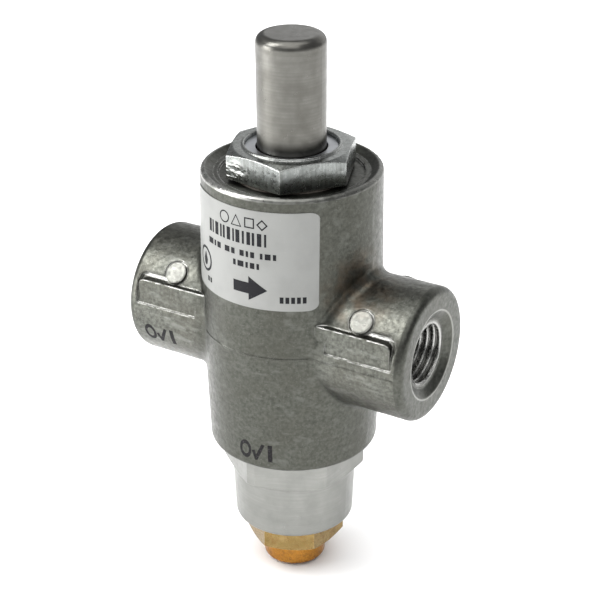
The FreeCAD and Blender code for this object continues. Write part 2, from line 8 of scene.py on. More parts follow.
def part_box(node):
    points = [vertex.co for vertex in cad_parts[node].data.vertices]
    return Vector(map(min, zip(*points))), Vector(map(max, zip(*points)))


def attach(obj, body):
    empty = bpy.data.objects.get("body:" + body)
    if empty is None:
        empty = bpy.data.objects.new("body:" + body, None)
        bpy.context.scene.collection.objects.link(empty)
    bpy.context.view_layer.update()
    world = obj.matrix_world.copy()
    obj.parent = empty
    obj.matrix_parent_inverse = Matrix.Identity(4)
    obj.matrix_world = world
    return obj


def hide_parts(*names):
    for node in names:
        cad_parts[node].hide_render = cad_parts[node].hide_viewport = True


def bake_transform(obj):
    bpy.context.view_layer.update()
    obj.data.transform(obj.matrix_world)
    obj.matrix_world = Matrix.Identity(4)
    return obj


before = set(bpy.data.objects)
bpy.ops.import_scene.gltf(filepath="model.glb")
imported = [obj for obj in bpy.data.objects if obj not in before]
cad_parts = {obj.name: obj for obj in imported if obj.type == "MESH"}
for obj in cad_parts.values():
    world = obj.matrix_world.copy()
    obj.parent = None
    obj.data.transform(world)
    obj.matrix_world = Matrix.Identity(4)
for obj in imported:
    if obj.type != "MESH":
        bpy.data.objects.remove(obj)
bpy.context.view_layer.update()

MM = 0.001

# The stem's axis is vertical, and the ports' axis runs along X at height 0.
button_low, button_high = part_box("reset_button")
AXIS_X = (button_low.x + button_high.x) / 2
NUT_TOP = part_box("bonnet_nut")[1].z
RIM_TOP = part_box("valve_body")[1].z
FITTING_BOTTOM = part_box("thermocouple_fitting")[0].z

# The barrel tapers both ways from the die line, at the height of the ports' axis.
BARREL_RADIUS = 17.46 * MM
DRAFT_ABOVE = 0.34 / 31.9
DRAFT_BELOW = 0.9 / 25.0
BOSS_RADIUS = 13.0 * MM
LABEL_STAND = 0.15 * MM

# Radii of a port: its thread's crests, near its roots, just past them, and its flared mouth.
CREST_RADIUS = 5.74 * MM
ROOT_RADIUS = 6.3 * MM
PORT_RADIUS = 6.5 * MM
MOUTH_RADIUS = 8.65 * MM

# Distances from the stem's axis: where a port's bore ends, where its mouth starts to flare,
# and just inside the boss's end face.
PORT_END = 14 * MM
MOUTH_START = 26.5 * MM
FACE_REACH = 28.9 * MM

# A dressed flat on each boss lies below this height, with a painted highlight along the gutter at its top.
FLAT_HIGH = 6.8 * MM
FLAT_START = 19 * MM
FLAT_END = 28.4 * MM

# The ejector pads stand on the bosses' upper slopes.
PAD_FACE = BOSS_RADIUS + 0.2 * MM
PAD_TILT = math.radians(41.5)
PAD_REACH = 20.4 * MM
PAD_OUT = PAD_FACE * math.cos(PAD_TILT)
PAD_UP = PAD_FACE * math.sin(PAD_TILT)


class Shader:
    """A node material for one piece. Lengths are metres in the row frame."""

    def __init__(self, name):
        self.material = bpy.data.materials.new(name)
        self.material.use_nodes = True
        self.tree = self.material.node_tree
        self.surface = self.tree.nodes["Principled BSDF"]
        self.place = self.new("ShaderNodeTexCoord").outputs["Object"]

    def new(self, kind):
        return self.tree.nodes.new(kind)

    def feed(self, source, socket):
        """Links an output to a socket, or sets the socket to a plain value."""
        if isinstance(source, bpy.types.NodeSocket):
            self.tree.links.new(source, socket)
        else:
            socket.default_value = source

    def noise(self, size, detail=4.0, stretch=(1, 1, 1), shift=0.0):
        """Cloudy noise from 0 to 1. A stretch under 1 draws it out along that axis."""
        mapping = self.new("ShaderNodeMapping")
        mapping.inputs["Location"].default_value = (shift, shift, shift)
        mapping.inputs["Scale"].default_value = [share / size for share in stretch]
        self.feed(self.place, mapping.inputs["Vector"])
        texture = self.new("ShaderNodeTexNoise")
        texture.inputs["Scale"].default_value = 1.0
        texture.inputs["Detail"].default_value = detail
        self.feed(mapping.outputs["Vector"], texture.inputs["Vector"])
        return texture.outputs["Fac"]

    def spread(self, value, low, high, start=0.0, end=1.0):
        """Maps low..high to start..end, clamped."""
        node = self.new("ShaderNodeMapRange")
        self.feed(value, node.inputs["Value"])
        node.inputs["From Min"].default_value = low
        node.inputs["From Max"].default_value = high
        node.inputs["To Min"].default_value = start
        node.inputs["To Max"].default_value = end
        return node.outputs["Result"]

    def calc(self, operation, first, second=0.0):
        """One step of arithmetic on two values."""
        node = self.new("ShaderNodeMath")
        node.operation = operation
        self.feed(first, node.inputs[0])
        self.feed(second, node.inputs[1])
        return node.outputs["Value"]

    def length_of(self, first, second):
        """The length of the two distances' diagonal."""
        squares = [self.calc("MULTIPLY", each, each) for each in (first, second)]
        return self.calc("SQRT", self.calc("ADD", *squares))

    def mix(self, share, first, second):
        """The first colour where the share is 0, the second where it is 1."""
        node = self.new("ShaderNodeMix")
        node.data_type = "RGBA"
        self.feed(share, node.inputs[0])
        self.feed(first, node.inputs[6])
        self.feed(second, node.inputs[7])
        return node.outputs[2]

    def axes(self):
        """The place's three parts."""
        split = self.new("ShaderNodeSeparateXYZ")
        self.feed(self.place, split.inputs["Vector"])
        return split.outputs["X"], split.outputs["Y"], split.outputs["Z"]

    def near(self, centre, reach, core=0.35):
        """1 at a point and over the core's share of the reach, falling to 0 at the reach."""
        node = self.new("ShaderNodeVectorMath")
        node.operation = "DISTANCE"
        self.feed(self.place, node.inputs[0])
        node.inputs[1].default_value = centre
        return self.spread(node.outputs["Value"], core * reach, reach, 1.0, 0.0)

    def soft_edges(self, radius):
        """A normal that rounds sharp edges over the given radius."""
        bevel = self.new("ShaderNodeBevel")
        bevel.samples = 6
        bevel.inputs["Radius"].default_value = radius
        return bevel.outputs["Normal"]

    def edges(self, radius, low=0.01, high=0.12):
        """1 near edges that are sharper than the given radius, 0 on smooth stretches."""
        plain = self.new("ShaderNodeNewGeometry")
        dot = self.new("ShaderNodeVectorMath")
        dot.operation = "DOT_PRODUCT"
        self.feed(self.soft_edges(radius), dot.inputs[0])
        self.feed(plain.outputs["Normal"], dot.inputs[1])
        return self.spread(self.calc("SUBTRACT", 1.0, dot.outputs["Value"]), low, high)

    def height_of(self, vector):
        """The Z part of a vector."""
        split = self.new("ShaderNodeSeparateXYZ")
        self.feed(vector, split.inputs["Vector"])
        return split.outputs["Z"]

    def bump(self, value, depth, under=None, strength=1.0):
        """A normal raised by a value times a depth, on top of another normal."""
        node = self.new("ShaderNodeBump")
        self.feed(strength, node.inputs["Strength"])
        node.inputs["Distance"].default_value = depth
        self.feed(value, node.inputs["Height"])
        if under is not None:
            self.feed(under, node.inputs["Normal"])
        return node.outputs["Normal"]

    def finish(self, colour, roughness, normal, metallic=1.0, others=None):
        """Feeds the surface and gives the finished material."""
        self.feed(colour, self.surface.inputs["Base Color"])
        self.feed(roughness, self.surface.inputs["Roughness"])
        self.feed(metallic, self.surface.inputs["Metallic"])
        self.feed(normal, self.surface.inputs["Normal"])
        for name, value in (others or {}).items():
            self.feed(value, self.surface.inputs[name])
        return self.material


def tone(red, green, blue):
    """A colour in linear light."""
    return (red, green, blue, 1.0)


def bare_casting(shader):
    """The casting's colour: mottled grey with clouds, pale specks, dark pits and scuffs."""
    skin = shader.mix(shader.spread(shader.noise(0.7 * MM, 8), 0.32, 0.68),
                      tone(0.085, 0.088, 0.078), tone(0.228, 0.233, 0.206))
    clouds = shader.spread(shader.noise(8 * MM, 3, shift=4.0), 0.38, 0.68)
    skin = shader.mix(shader.calc("MULTIPLY", clouds, 0.5), skin, tone(0.125, 0.118, 0.098))
    specks = shader.spread(shader.noise(0.32 * MM, 2, shift=9.0), 0.60, 0.72)
    skin = shader.mix(shader.calc("MULTIPLY", specks, 0.4), skin, tone(0.40, 0.41, 0.38))
    pits = shader.spread(shader.noise(0.5 * MM, 3, shift=13.0), 0.62, 0.74)
    skin = shader.mix(shader.calc("MULTIPLY", pits, 0.5), skin, tone(0.06, 0.062, 0.056))
    scuffs = shader.spread(shader.noise(1.6 * MM, 8, stretch=(0.35, 0.8, 1.0), shift=21.0), 0.56, 0.7)
    return shader.mix(shader.calc("MULTIPLY", scuffs, 0.5), skin, tone(0.36, 0.37, 0.34))


def darkened(shader, skin, z, stem_radius, port_radius, from_axis):
    """Darker stretches of the casting: the barrel, painted shade over the rim and its trough, the ports'
    ends and a stain.
    """
    on_barrel = shader.spread(stem_radius, 17.6 * MM, 20.0 * MM, 0.75, 0.43)
    # Painted shade: the rim is darkened from 2.6 mm below its top, fully from 1.5 mm below it.
    rim_painted_shade = shader.spread(z, RIM_TOP - 2.6 * MM, RIM_TOP - 1.5 * MM, 0.0, 0.6)
    skin = shader.mix(shader.calc("MAXIMUM", on_barrel, rim_painted_shade), skin, tone(0.046, 0.0475, 0.040))
    mouth = shader.calc("MULTIPLY", shader.calc("GREATER_THAN", from_axis, MOUTH_START),
                        shader.calc("LESS_THAN", port_radius, MOUTH_RADIUS))
    end_face = shader.calc("MAXIMUM", mouth, shader.calc("GREATER_THAN", from_axis, FACE_REACH))
    skin = shader.mix(shader.calc("MULTIPLY", end_face, 0.5), skin, tone(0.05, 0.052, 0.045))
    stain_place = (AXIS_X + 17.5 * MM, -5.0 * MM, 12.5 * MM)
    stain = shader.calc("MULTIPLY", shader.near(stain_place, 9 * MM),
                        shader.spread(shader.noise(2.2 * MM, 4, shift=2.0), 0.35, 0.65))
    return shader.mix(shader.calc("MULTIPLY", stain, 0.6), skin, tone(0.13, 0.095, 0.065))


def wear_and_painted_highlights(shader, across, z, stem_radius, port_radius, from_axis):
    """1 where the casting is painted paler: rubbed edges, brightened as a painted highlight where they
    face up; painted highlights along the rim's crest and the flats' gutters; and the ejector pads.
    """
    rubbed = shader.calc("MULTIPLY", shader.edges(0.45 * MM, 0.012, 0.10),
                         shader.spread(shader.noise(1.2 * MM, 5, shift=6.0), 0.36, 0.56))
    # Painted highlight: rubbed edges that face up are painted brighter than those facing sideways or down.
    facing_up = shader.spread(shader.height_of(shader.soft_edges(0.45 * MM)), 0.1, 0.55, 0.15, 1.0)
    off_parting = shader.spread(shader.calc("ABSOLUTE", z), 0.4 * MM, 2.6 * MM, 0.12, 1.0)
    tint_share = shader.calc("MULTIPLY", shader.calc("MULTIPLY", rubbed, facing_up), off_parting)

    # Painted highlight along the rim's crest, strongest at the front-left and broken into patches.
    crest = shader.calc("MULTIPLY", shader.spread(z, RIM_TOP - 0.9 * MM, RIM_TOP - 0.6 * MM),
                        shader.spread(stem_radius, 16.1 * MM, 16.6 * MM))
    crest = shader.calc("MULTIPLY", crest, shader.spread(across, -5 * MM, 7 * MM, 0.9, 0.25))
    patches = shader.spread(shader.noise(1.5 * MM, 5, shift=17.0), 0.35, 0.55, 0.4)
    crest = shader.calc("MULTIPLY", crest, patches)

    # Painted highlight along the gutter at the top of each flat, between the flat's ends.
    sunk = shader.spread(port_radius, BOSS_RADIUS - 0.3 * MM, BOSS_RADIUS - 0.2 * MM, 0.7, 0.0)
    gutter = shader.calc("MULTIPLY", shader.spread(z, FLAT_HIGH - 0.05 * MM, FLAT_HIGH + 0.1 * MM), sunk)
    gutter = shader.calc("MULTIPLY", gutter, shader.calc("GREATER_THAN", from_axis, FLAT_START))
    gutter = shader.calc("MULTIPLY", gutter, shader.calc("LESS_THAN", from_axis, FLAT_END))
    tint_share = shader.calc("MAXIMUM", shader.calc("MAXIMUM", tint_share, crest), gutter)

    for side_x in (1, -1):
        for side_y in (1, -1):
            pad = shader.near((AXIS_X + side_x * PAD_REACH, side_y * PAD_OUT, PAD_UP), 2.6 * MM, 0.88)
            tint_share = shader.calc("MAXIMUM", tint_share, shader.calc("MULTIPLY", pad, 0.14))
    return tint_share


def cast_metal():
    """Dull die-cast skin with rubbed edges, bright ejector pads and machined ports; painted highlights on
    up-facing edges, the rim's crest, the flats' gutters, the threads' crests and the mouths' edges, and
    painted shade on the rim and in the threads' roots.
    """
    shader = Shader("cast_skin")
    x, y, z = shader.axes()
    across = shader.calc("SUBTRACT", x, AXIS_X)
    from_axis = shader.calc("ABSOLUTE", across)
    stem_radius = shader.length_of(across, y)
    port_radius = shader.length_of(y, z)
    skin = darkened(shader, bare_casting(shader), z, stem_radius, port_radius, from_axis)
    tint_share = wear_and_painted_highlights(shader, across, z, stem_radius, port_radius, from_axis)
    # Rubbed edges and painted highlights are mixed in as a pale tone.
    skin = shader.mix(shader.calc("MULTIPLY", tint_share, 0.85), skin, tone(0.66, 0.66, 0.63))

    inside_port = shader.calc("MULTIPLY", shader.calc("LESS_THAN", port_radius, PORT_RADIUS),
                              shader.calc("GREATER_THAN", from_axis, PORT_END))
    # Painted highlight on the thread's crests, fading to painted shade towards its roots.
    thread_painted_light = shader.spread(port_radius, CREST_RADIUS, ROOT_RADIUS, 1.0, 0.0)
    thread = shader.mix(thread_painted_light, tone(0.12, 0.12, 0.11), tone(0.5, 0.5, 0.48))
    skin = shader.mix(inside_port, skin, thread)
    # Painted highlight: a thin pale ring along each mouth's outer edge on the end face.
    off_mouth = shader.calc("ABSOLUTE", shader.calc("SUBTRACT", port_radius, MOUTH_RADIUS))
    mouth_edge_highlight = shader.calc("MULTIPLY", shader.spread(off_mouth, 0.08 * MM, 0.26 * MM, 0.38, 0.0),
                             shader.calc("GREATER_THAN", from_axis, FACE_REACH + 0.1 * MM))
    skin = shader.mix(mouth_edge_highlight, skin, tone(0.5, 0.5, 0.47))

    calm = shader.calc("SUBTRACT", 1.0, shader.calc("MULTIPLY", inside_port, 0.92))
    rough = shader.spread(shader.noise(0.9 * MM, 4, shift=3.0), 0.3, 0.7, 0.28, 0.47)
    rough = shader.calc("SUBTRACT", rough, shader.calc("MULTIPLY", tint_share, 0.08))
    rough = shader.calc("SUBTRACT", rough, shader.calc("MULTIPLY", inside_port, 0.15))
    normal = shader.bump(shader.noise(0.28 * MM, 3), 0.025 * MM, shader.soft_edges(0.6 * MM), calm)
    normal = shader.bump(shader.noise(1.8 * MM, 4, shift=5.0), 0.09 * MM, normal, calm)
    return shader.finish(skin, rough, normal)


def turned_metal(name, light, dark, roughness, lathe_size=0.16 * MM, lathe_depth=0.004 * MM):
    """A lathe-turned metal: fine rings round the stem's axis, faint clouds, brighter edges."""
    shader = Shader(name)
    clouds = shader.spread(shader.noise(3.5 * MM, 5), 0.3, 0.72)
    colour = shader.mix(clouds, light, dark)
    rings = shader.noise(lathe_size, 3, stretch=(0.02, 0.02, 1.0))
    colour = shader.mix(shader.spread(rings, 0.3, 0.7, 0.0, 0.6), colour, dark)
    bright = tone(*[min(1.0, channel * 1.25) for channel in light[:3]])
    # Edges wear paler.
    tint_share = shader.edges(0.3 * MM)
    colour = shader.mix(shader.calc("MULTIPLY", tint_share, 0.6), colour, bright)
    clouds = shader.noise(1.3 * MM, 4, shift=2.0)
    rough = shader.spread(clouds, 0.25, 0.75, roughness - 0.05, roughness + 0.08)
    normal = shader.bump(rings, lathe_depth, shader.soft_edges(0.2 * MM))
    normal = shader.bump(shader.noise(0.5 * MM, 3, shift=7.0), 0.004 * MM, normal)
    return shader.finish(colour, rough, normal)


def plated_steel():
    """Bright plate on the nut, scratched down its flats and chewed where a spanner slipped."""
    shader = Shader("bright_plate")
    scratched = shader.noise(0.4 * MM, 5, stretch=(1.0, 1.0, 0.1))
    colour = shader.mix(shader.spread(scratched, 0.35, 0.68),
                        tone(0.295, 0.309, 0.30), tone(0.187, 0.195, 0.185))
    slip = (AXIS_X - 6.0 * MM, -10.4 * MM, NUT_TOP - 5.0 * MM)
    chewed = shader.calc("MULTIPLY", shader.near(slip, 4.0 * MM),
                         shader.spread(shader.noise(1.5 * MM, 3, stretch=(0.5, 0.5, 1.2)), 0.42, 0.6))
    colour = shader.mix(chewed, colour, tone(0.6, 0.6, 0.58))
    grime = shader.spread(shader.noise(1.2 * MM, 5, shift=8.0), 0.56, 0.74, 0.0, 0.5)
    colour = shader.mix(grime, colour, tone(0.11, 0.11, 0.10))
    # Edges wear paler.
    tint_share = shader.edges(0.25 * MM)
    colour = shader.mix(shader.calc("MULTIPLY", tint_share, 0.6), colour, tone(0.62, 0.62, 0.60))
    rough = shader.spread(shader.noise(0.8 * MM, 4, shift=1.0), 0.3, 0.7, 0.22, 0.36)
    normal = shader.bump(scratched, 0.010 * MM, shader.soft_edges(0.3 * MM))
    normal = shader.bump(chewed, 0.16 * MM, normal)
    normal = shader.bump(shader.noise(2.5 * MM, 2, shift=3.0), 0.08 * MM, normal)
    return shader.finish(colour, rough, normal)


def brass():
    """Turned brass with mottled tarnish, yellower on the hexagon; the spigot below it is painted redder as
    a painted reflection.
    """
    shader = Shader("turned_brass")
    hexagon_low = FITTING_BOTTOM + 5.4 * MM
    height = shader.height_of(shader.place)
    spigot = shader.spread(height, hexagon_low - 0.4 * MM, hexagon_low + 0.2 * MM, 1.0, 0.0)
    colour = shader.mix(shader.spread(shader.noise(2.4 * MM, 4), 0.3, 0.7),
                        tone(0.31, 0.22, 0.092), tone(0.215, 0.146, 0.053))
    # Painted reflection: the spigot below the hexagon is painted redder.
    colour = shader.mix(spigot, colour, tone(0.41, 0.188, 0.037))
    tarnish = shader.spread(shader.noise(1.1 * MM, 5, shift=5.0), 0.5, 0.75, 0.0, 0.6)
    colour = shader.mix(tarnish, colour, tone(0.2, 0.1, 0.035))
    # Edges wear paler.
    tint_share = shader.edges(0.2 * MM)
    colour = shader.mix(shader.calc("MULTIPLY", tint_share, 0.5), colour, tone(0.6, 0.44, 0.2))
    rings = shader.noise(0.2 * MM, 3, stretch=(0.02, 0.02, 1.0))
    rough = shader.spread(shader.noise(0.9 * MM, 3, shift=2.0), 0.3, 0.7, 0.2, 0.33)
    normal = shader.bump(rings, 0.005 * MM, shader.soft_edges(0.15 * MM))
    return shader.finish(colour, rough, normal)


def plain_metal(name, light, dark, roughness):
    """A drawn or ground metal, for the pieces inside."""
    shader = Shader(name)
    colour = shader.mix(shader.spread(shader.noise(0.8 * MM, 4), 0.3, 0.7), light, dark)
    bright = tone(*[min(1.0, channel * 1.2) for channel in light[:3]])
    colour = shader.mix(shader.calc("MULTIPLY", shader.edges(0.15 * MM), 0.5), colour, bright)
    normal = shader.bump(shader.noise(0.3 * MM, 3), 0.006 * MM, shader.soft_edges(0.1 * MM))
    clouds = shader.noise(0.6 * MM, 3, shift=3.0)
    rough = shader.spread(clouds, 0.3, 0.7, roughness - 0.06, roughness + 0.08)
    return shader.finish(colour, rough, normal)


def soft_matter(name, light, dark, roughness, grain):
    """Rubber, fibre or plastic: a fine grain with cloudy colour."""
    shader = Shader(name)
    colour = shader.mix(shader.spread(shader.noise(6 * grain, 4), 0.3, 0.7), light, dark)
    rubbed = tone(*[min(1.0, channel * 1.5 + 0.02) for channel in light[:3]])
    colour = shader.mix(shader.calc("MULTIPLY", shader.edges(0.15 * MM), 0.5), colour, rubbed)
    normal = shader.bump(shader.noise(grain, 3, shift=1.0), grain * 0.12)
    clouds = shader.noise(3 * grain, 3, shift=2.0)
    rough = shader.spread(clouds, 0.3, 0.7, roughness - 0.08, roughness + 0.08)
    return shader.finish(colour, rough, normal, metallic=0.0)


def label_film():
    """Pale vinyl film: a soft sheen, faint smudges and slightly greyed edges."""
    shader = Shader("label_film")
    smudge = shader.spread(shader.noise(5 * MM, 4), 0.45, 0.8)
    colour = shader.mix(smudge, tone(0.25, 0.2535, 0.2425), tone(0.215, 0.219, 0.209))
    specks = shader.spread(shader.noise(0.4 * MM, 3, shift=6.0), 0.68, 0.78, 0.0, 0.35)
    colour = shader.mix(specks, colour, tone(0.35, 0.34, 0.32))
    # Edges wear greyer.
    tint_share = shader.edges(0.15 * MM)
    colour = shader.mix(shader.calc("MULTIPLY", tint_share, 0.5), colour, tone(0.16, 0.16, 0.15))
    normal = shader.bump(shader.noise(1.5 * MM, 3, shift=3.0), 0.01 * MM)
    return shader.finish(colour, 0.42, normal, metallic=0.0)


def printed_ink(name, colour, density):
    """Dark ink, thinner where the noise passes the given density."""
    shader = Shader(name)
    thin = shader.spread(shader.noise(0.35 * MM, 4), density, density + 0.25)
    pale = tone(*[channel + 0.05 for channel in colour[:3]])
    mixed = shader.mix(thin, colour, pale)
    normal = shader.bump(shader.noise(0.3 * MM, 3, shift=2.0), 0.004 * MM)
    return shader.finish(mixed, 0.6, normal, metallic=0.0, others={"Specular IOR Level": 0.15})


def dress_nodes():
    """Gives every CAD node its material, and returns the springs' one."""
    aluminium_button = turned_metal("button_skin", tone(0.185, 0.182, 0.168), tone(0.115, 0.112, 0.10),
                                     0.31, lathe_size=0.42 * MM, lathe_depth=0.006 * MM)
    aluminium_cup = turned_metal("cup_skin", tone(0.275, 0.277, 0.26), tone(0.208, 0.21, 0.197), 0.32,
                                 lathe_size=0.3 * MM)
    washer = turned_metal("washer_skin", tone(0.52, 0.54, 0.56), tone(0.42, 0.43, 0.45), 0.35)
    ground = plain_metal("ground_steel", tone(0.55, 0.55, 0.54), tone(0.42, 0.42, 0.41), 0.25)
    drawn = plain_metal("drawn_wire", tone(0.48, 0.48, 0.47), tone(0.36, 0.36, 0.35), 0.3)
    iron = plain_metal("soft_iron", tone(0.34, 0.33, 0.32), tone(0.25, 0.24, 0.23), 0.4)
    copper = plain_metal("bare_copper", tone(0.72, 0.33, 0.17), tone(0.55, 0.23, 0.12), 0.28)
    solder = plain_metal("solder", tone(0.7, 0.7, 0.69), tone(0.55, 0.55, 0.54), 0.3)
    rubber = soft_matter("black_rubber", tone(0.02, 0.02, 0.02), tone(0.035, 0.035, 0.035), 0.7, 0.15 * MM)
    fibre = soft_matter("gasket_fibre", tone(0.11, 0.1, 0.085), tone(0.17, 0.15, 0.13), 0.85, 0.2 * MM)
    insulator = soft_matter("moulded_insulator", tone(0.25, 0.16, 0.1), tone(0.32, 0.22, 0.14),
                            0.5, 0.15 * MM)
    brass_skin = brass()
    dress = {
        "valve_body": cast_metal(),
        "bonnet_nut": plated_steel(),
        "guide_washer": washer,
        "reset_button": aluminium_button,
        "magnet_housing": aluminium_cup,
        "thermocouple_fitting": brass_skin,
        "magnet_base": brass_skin,
        "magnet_cap": brass_skin,
        "poppet_disc": brass_skin,
        "label": label_film(),
        "reset_stem": ground,
        "armature_rod": ground,
        "stem_clip": drawn,
        "button_spring": drawn,
        "poppet_spring": drawn,
        "armature": iron,
        "magnet_core": iron,
        "magnet_coil": copper,
        "coil_lead": copper,
        "terminal_contact": solder,
        "stem_o_ring": rubber,
        "poppet_facing": rubber,
        "bonnet_gasket": fibre,
        "housing_gasket": fibre,
        "contact_insulator": insulator,
    }
    for name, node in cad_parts.items():
        node.data.materials.clear()
        node.data.materials.append(dress[name])
    return drawn


def barrel_point(along_arc, height, out, middle_angle, stand):
    """A point wrapped on the barrel: arc length, height and distance above the skin."""
    draft = DRAFT_ABOVE if height > 0 else -DRAFT_BELOW
    radius = BARREL_RADIUS - draft * height + stand
    angle = middle_angle + along_arc / radius
    reach = radius + out
    return Vector((AXIS_X + reach * math.cos(angle), reach * math.sin(angle), height))


def boss_point(along_x, along_arc, out, middle_angle):
    """A point wrapped on a port boss: place along X and arc length about the ports' axis."""
    angle = middle_angle + along_arc / BOSS_RADIUS
    reach = BOSS_RADIUS + out
    return Vector((along_x, -reach * math.cos(angle), reach * math.sin(angle)))


def bar(left, right, low, high):
    """A rectangle's outline."""
    return [(left, low), (right, low), (right, high), (left, high)]


def ring_quads(x, y, outer, inner, count=28, squeeze=1.0):
    """A flat ring as a row of four-sided outlines, narrower across by the squeeze."""
    quads = []
    for i in range(count):
        turns = [2 * math.pi * (i + step) / count for step in (0, 1)]
        spots = []
        for radius, order in ((outer, turns), (inner, turns[::-1])):
            for turn in order:
                spots.append((x + squeeze * radius * math.cos(turn), y + radius * math.sin(turn)))
        quads.append(spots)
    return quads


def as_piece(name, work, material):
    """Turns a finished bmesh into an object in the scene."""
    mesh = bpy.data.meshes.new(name)
    work.to_mesh(mesh)
    work.free()
    mesh.materials.append(material)
    piece = bpy.data.objects.new(name, mesh)
    bpy.context.scene.collection.objects.link(piece)
    return piece


def wrapped_mark(name, outlines, place, ink, thickness=0.02 * MM):
    """Ink shapes from flat outlines in mm: divided finely, thickened, then bent by place()."""
    work = bmesh.new()
    for outline in outlines:
        corners = [work.verts.new((u * MM, v * MM, 0)) for u, v in outline]
        work.faces.new(corners)
    bmesh.ops.remove_doubles(work, verts=work.verts[:], dist=0.001 * MM)
    bmesh.ops.triangulate(work, faces=[face for face in work.faces if len(face.verts) > 4])
    for _ in range(4):
        long_edges = [edge for edge in work.edges if edge.calc_length() > 0.9 * MM]
        if long_edges:
            bmesh.ops.subdivide_edges(work, edges=long_edges, cuts=1, use_grid_fill=True)
    bmesh.ops.recalc_face_normals(work, faces=work.faces[:])
    solid = bmesh.ops.extrude_face_region(work, geom=work.faces[:])
    raised = [item for item in solid["geom"] if isinstance(item, bmesh.types.BMVert)]
    for vertex in raised:
        vertex.co.z = thickness
    for vertex in work.verts:
        vertex.co = place(vertex.co.x, vertex.co.y, vertex.co.z - 0.4 * thickness)
    bmesh.ops.recalc_face_normals(work, faces=work.faces[:])
    piece = as_piece(name, work, ink)
    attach(piece, "valve")


def frame_of(corners, width):
    """The outline of a convex shape drawn as strips about as wide as given."""
    count = len(corners)
    middle = (sum(x for x, _ in corners) / count, sum(y for _, y in corners) / count)
    inner = []
    for x, y in corners:
        length = math.hypot(x - middle[0], y - middle[1])
        share = 1 - 1.5 * width / length
        inner.append((middle[0] + (x - middle[0]) * share, middle[1] + (y - middle[1]) * share))
    strips = []
    for i in range(count):
        j = (i + 1) % count
        strips.append([corners[i], corners[j], inner[j], inner[i]])
    return strips


def outlined_icons():
    """A row of small icons in outline: a circle, a triangle, a square and a diamond."""
    triangle = [(-1.6, 25.8), (0.8, 25.8), (-0.4, 28.1)]
    square = bar(1.4, 3.4, 25.9, 27.9)
    diamond = [(4.9, 25.7), (6.0, 26.8), (4.9, 27.9), (3.8, 26.8)]
    shapes = ring_quads(-3.2, 26.9, 1.2, 0.95)
    for corners in (triangle, square, diamond):
        shapes += frame_of(corners, 0.24)
    return shapes


def bar_code(left, low, high):
    """Upright bars of mixed widths, with a narrow gap after every third one."""
    bars = []
    for i, width in enumerate((0.75, 0.4, 0.95, 0.45, 0.5, 0.85, 0.4, 0.9, 0.45, 0.75, 0.5, 0.85, 0.4)):
        bars.append(bar(left, left + width, low, high))
        left += width + (0.52 if i % 3 else 0.32)
    return bars


def dash_row(left, low, widths):
    """A row of dashes. A width of 0 stands for a space."""
    dashes = []
    for width in widths:
        if width > 0:
            dashes.append(bar(left, left + width, low, low + 1.15))
        left += width + (0.42 if width > 0 else 0.7)
    return dashes


def label_print():
    """Generic marks on the label: icons, a bar code, dashes, an arrow and a drop in a ring.

    Each place is in mm: arc length from the label's middle, and height above the ports' axis.
    """
    ink = printed_ink("label_ink", tone(0.010, 0.010, 0.012), 0.62)
    middle_angle = math.radians(-93.0)
    flow_arrow = [(-1.2, 12.9), (2.1, 12.9), (2.1, 11.6), (5.8, 14.0), (2.1, 16.4), (2.1, 15.1),
                  (-1.2, 15.1)]
    drop = [(-10.0, 17.6), (-10.8, 16.0), (-10.6, 15.1), (-10.0, 14.7), (-9.4, 15.1), (-9.2, 16.0)]

    shapes = outlined_icons()
    shapes += bar_code(-7.9, 22.6, 25.1)
    shapes += dash_row(-8.2, 20.15, (1.5, 0.5, 1.0, 0, 1.2, 0.8, 0, 0.9, 0.5, 0.8, 0, 0.5, 1.1, 0.6))
    shapes += dash_row(-1.2, 18.0, (0.6, 1.3, 0.5, 0.9, 0.5))
    shapes.append(flow_arrow)
    shapes += ring_quads(-10.0, 16.1, 2.5, 2.0)
    shapes.append(drop)
    shapes.append(bar(-9.2, -8.5, 11.9, 12.9))
    shapes.append(bar(-8.2, -7.6, 11.9, 12.9))
    for i in range(5):
        left = 8.1 + 1.05 * i
        shapes.append(bar(left, left + 0.7, 11.7, 12.95))

    def place(u, v, w):
        return barrel_point(u, v, w, middle_angle, LABEL_STAND)

    wrapped_mark("label_print", shapes, place, ink)


def hand_stamps(across, up):
    """A loop, a tick and a stroke, about 4 mm tall, with their middle at the given place."""
    shapes = ring_quads(across - 2.5, up, 2.0, 1.15, squeeze=0.66)
    shapes.append([(across - 1.1, up + 0.1), (across - 0.4, up - 2.0), (across - 0.2, up - 0.75),
                   (across - 0.45, up + 0.3)])
    shapes.append([(across - 0.4, up - 2.0), (across + 0.1, up - 1.9), (across + 1.7, up + 1.7),
                   (across + 1.05, up + 1.85), (across - 0.2, up - 0.75)])
    shapes.append(bar(across + 2.3, across + 3.2, up - 1.9, up + 1.9))
    return shapes


def ink_marks():
    """Inspection marks stamped in ink on the barrel and on the inlet boss."""
    ink = printed_ink("stamp_ink", tone(0.010, 0.009, 0.010), 0.55)

    def on_barrel(u, v, w):
        return barrel_point(u, v, w, math.radians(-84), 0)

    def on_boss(u, v, w):
        return boss_point(u, v, w, math.radians(-20))

    wrapped_mark("barrel_stamp", hand_stamps(0, -21.2), on_barrel, ink)
    wrapped_mark("boss_stamp", hand_stamps(AXIS_X / MM - 23.0, 0), on_boss, ink)


def wire_ring(work, centre, outward, radius, sides):
    """A ring of points round a coil's wire, square to the way it runs."""
    ring = []
    for k in range(sides):
        turn = 2 * math.pi * k / sides
        ring.append(work.verts.new(centre + outward * radius * math.cos(turn)
                                   + Vector((0, 0, radius * math.sin(turn)))))
    return ring


